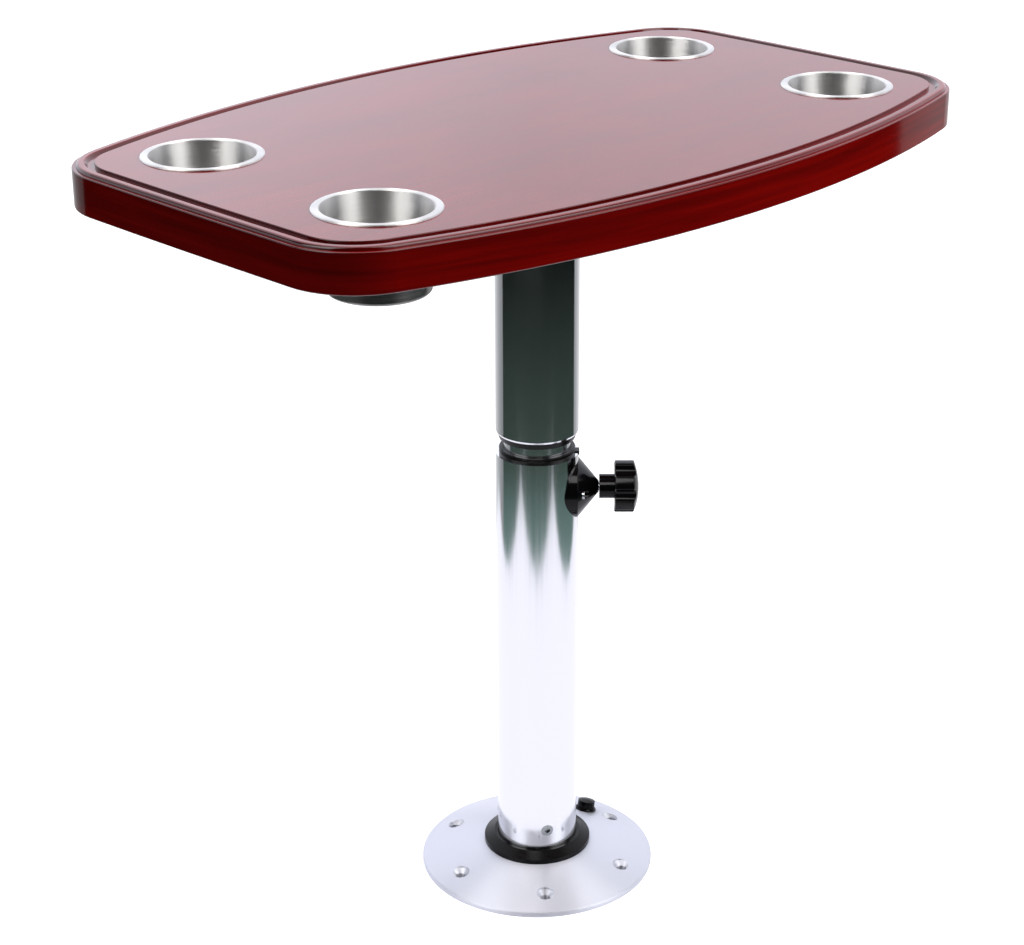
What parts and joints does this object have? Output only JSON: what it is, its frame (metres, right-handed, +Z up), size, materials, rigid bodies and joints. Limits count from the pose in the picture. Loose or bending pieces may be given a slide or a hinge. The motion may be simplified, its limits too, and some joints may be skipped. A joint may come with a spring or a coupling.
{
  "type": "adjustable camper table",
  "caption": "Pedestal dinette table with a barrel-shaped wooden top, drop-in cup holders, a telescoping swivelling column clamped by a star knob, and a round floor base.",
  "frame": {"origin": "centre of the floor base's underside, on the pedestal axis", "axes": "+Z up along the pedestal, +X along the length of the top, +Y across its width"},
  "size_m": [0.763, 0.482, 0.7404],
  "materials": {
    "mahogany": "red mahogany stain under gloss lacquer",
    "stainless": "brushed stainless steel",
    "tube_aluminium": "polished and clear anodised",
    "cast_aluminium": "satin casting",
    "black_gloss": "glossy moulded black",
    "black_satin": "satin moulded black",
    "nylon": "natural nylon",
    "zinc_steel": "bright zinc plate",
    "brass": "turned brass"
  },
  "bodies": {
    "base": {"base_flange": "cast_aluminium", "base_bush": "black_satin", "button_bezel": "black_gloss", "latch_spring": "zinc_steel"},
    "button": {"release_button": "black_gloss"},
    "latch": {"latch_bolt": "zinc_steel"},
    "leg": {"lower_tube": "tube_aluminium", "foot_plug": "black_satin", "foot_plug_screws": "zinc_steel", "lower_collar": "black_satin", "clamp_boss": "black_gloss", "clamp_boss_screws": "zinc_steel", "clamp_nut": "brass"},
    "pad": {"clamp_pad": "nylon"},
    "knob": {"knob_grip": "black_gloss", "knob_stud": "zinc_steel"},
    "glide": {"glide_ring": "nylon"},
    "table": {"inner_tube": "tube_aluminium", "inner_tube_plug": "black_satin", "glide_snap_ring": "zinc_steel", "upper_tube": "tube_aluminium", "upper_end_ring": "black_satin", "top_flange": "cast_aluminium", "top_flange_screws": "zinc_steel", "hub_screws": "zinc_steel", "tabletop": "mahogany", "cup_holder_1": "stainless", "cup_holder_2": "stainless", "cup_holder_3": "stainless", "cup_holder_4": "stainless"}
  },
  "joints": [
    {"name": "button_press", "type": "slide", "parent": "base", "child": "button", "axis": [-0.2362, -0.029, -0.9713], "range_m": [0, 0.003], "stiffness_N_per_m": 500, "springref_m": -0.004},
    {"name": "latch_slide", "type": "slide", "parent": "base", "child": "latch", "axis": [0.9925, 0.1219, 0], "range_m": [0, 0.0023], "deforming": ["latch_spring"]},
    {"name": "leg_lift", "type": "slide", "parent": "base", "child": "leg", "axis": [0, 0, 1], "range_m": [0, 0.05]},
    {"name": "pad_slide", "type": "slide", "parent": "leg", "child": "pad", "axis": [0.7071, -0.7071, 0], "range_m": [0, 0.002]},
    {"name": "knob_turn", "type": "hinge", "parent": "pad", "child": "knob", "pos_m": [0, 0, 0.3938], "axis": [0.7071, -0.7071, 0], "range_deg": [0, 576]},
    {"name": "height_slide", "type": "slide", "parent": "leg", "child": "glide", "axis": [0, 0, 1], "range_m": [-0.0092, 0.22]},
    {"name": "table_swivel", "type": "hinge", "parent": "glide", "child": "table", "pos_m": [0, 0, 0.3938], "axis": [0, 0, 1], "continuous": true}
  ],
  "couplings": [
    {"joint": "latch_slide", "follows": "button_press", "ratio": 0.73333},
    {"joint": "knob_turn", "follows": "pad_slide", "rad_per_m": 5026.5}
  ]
}
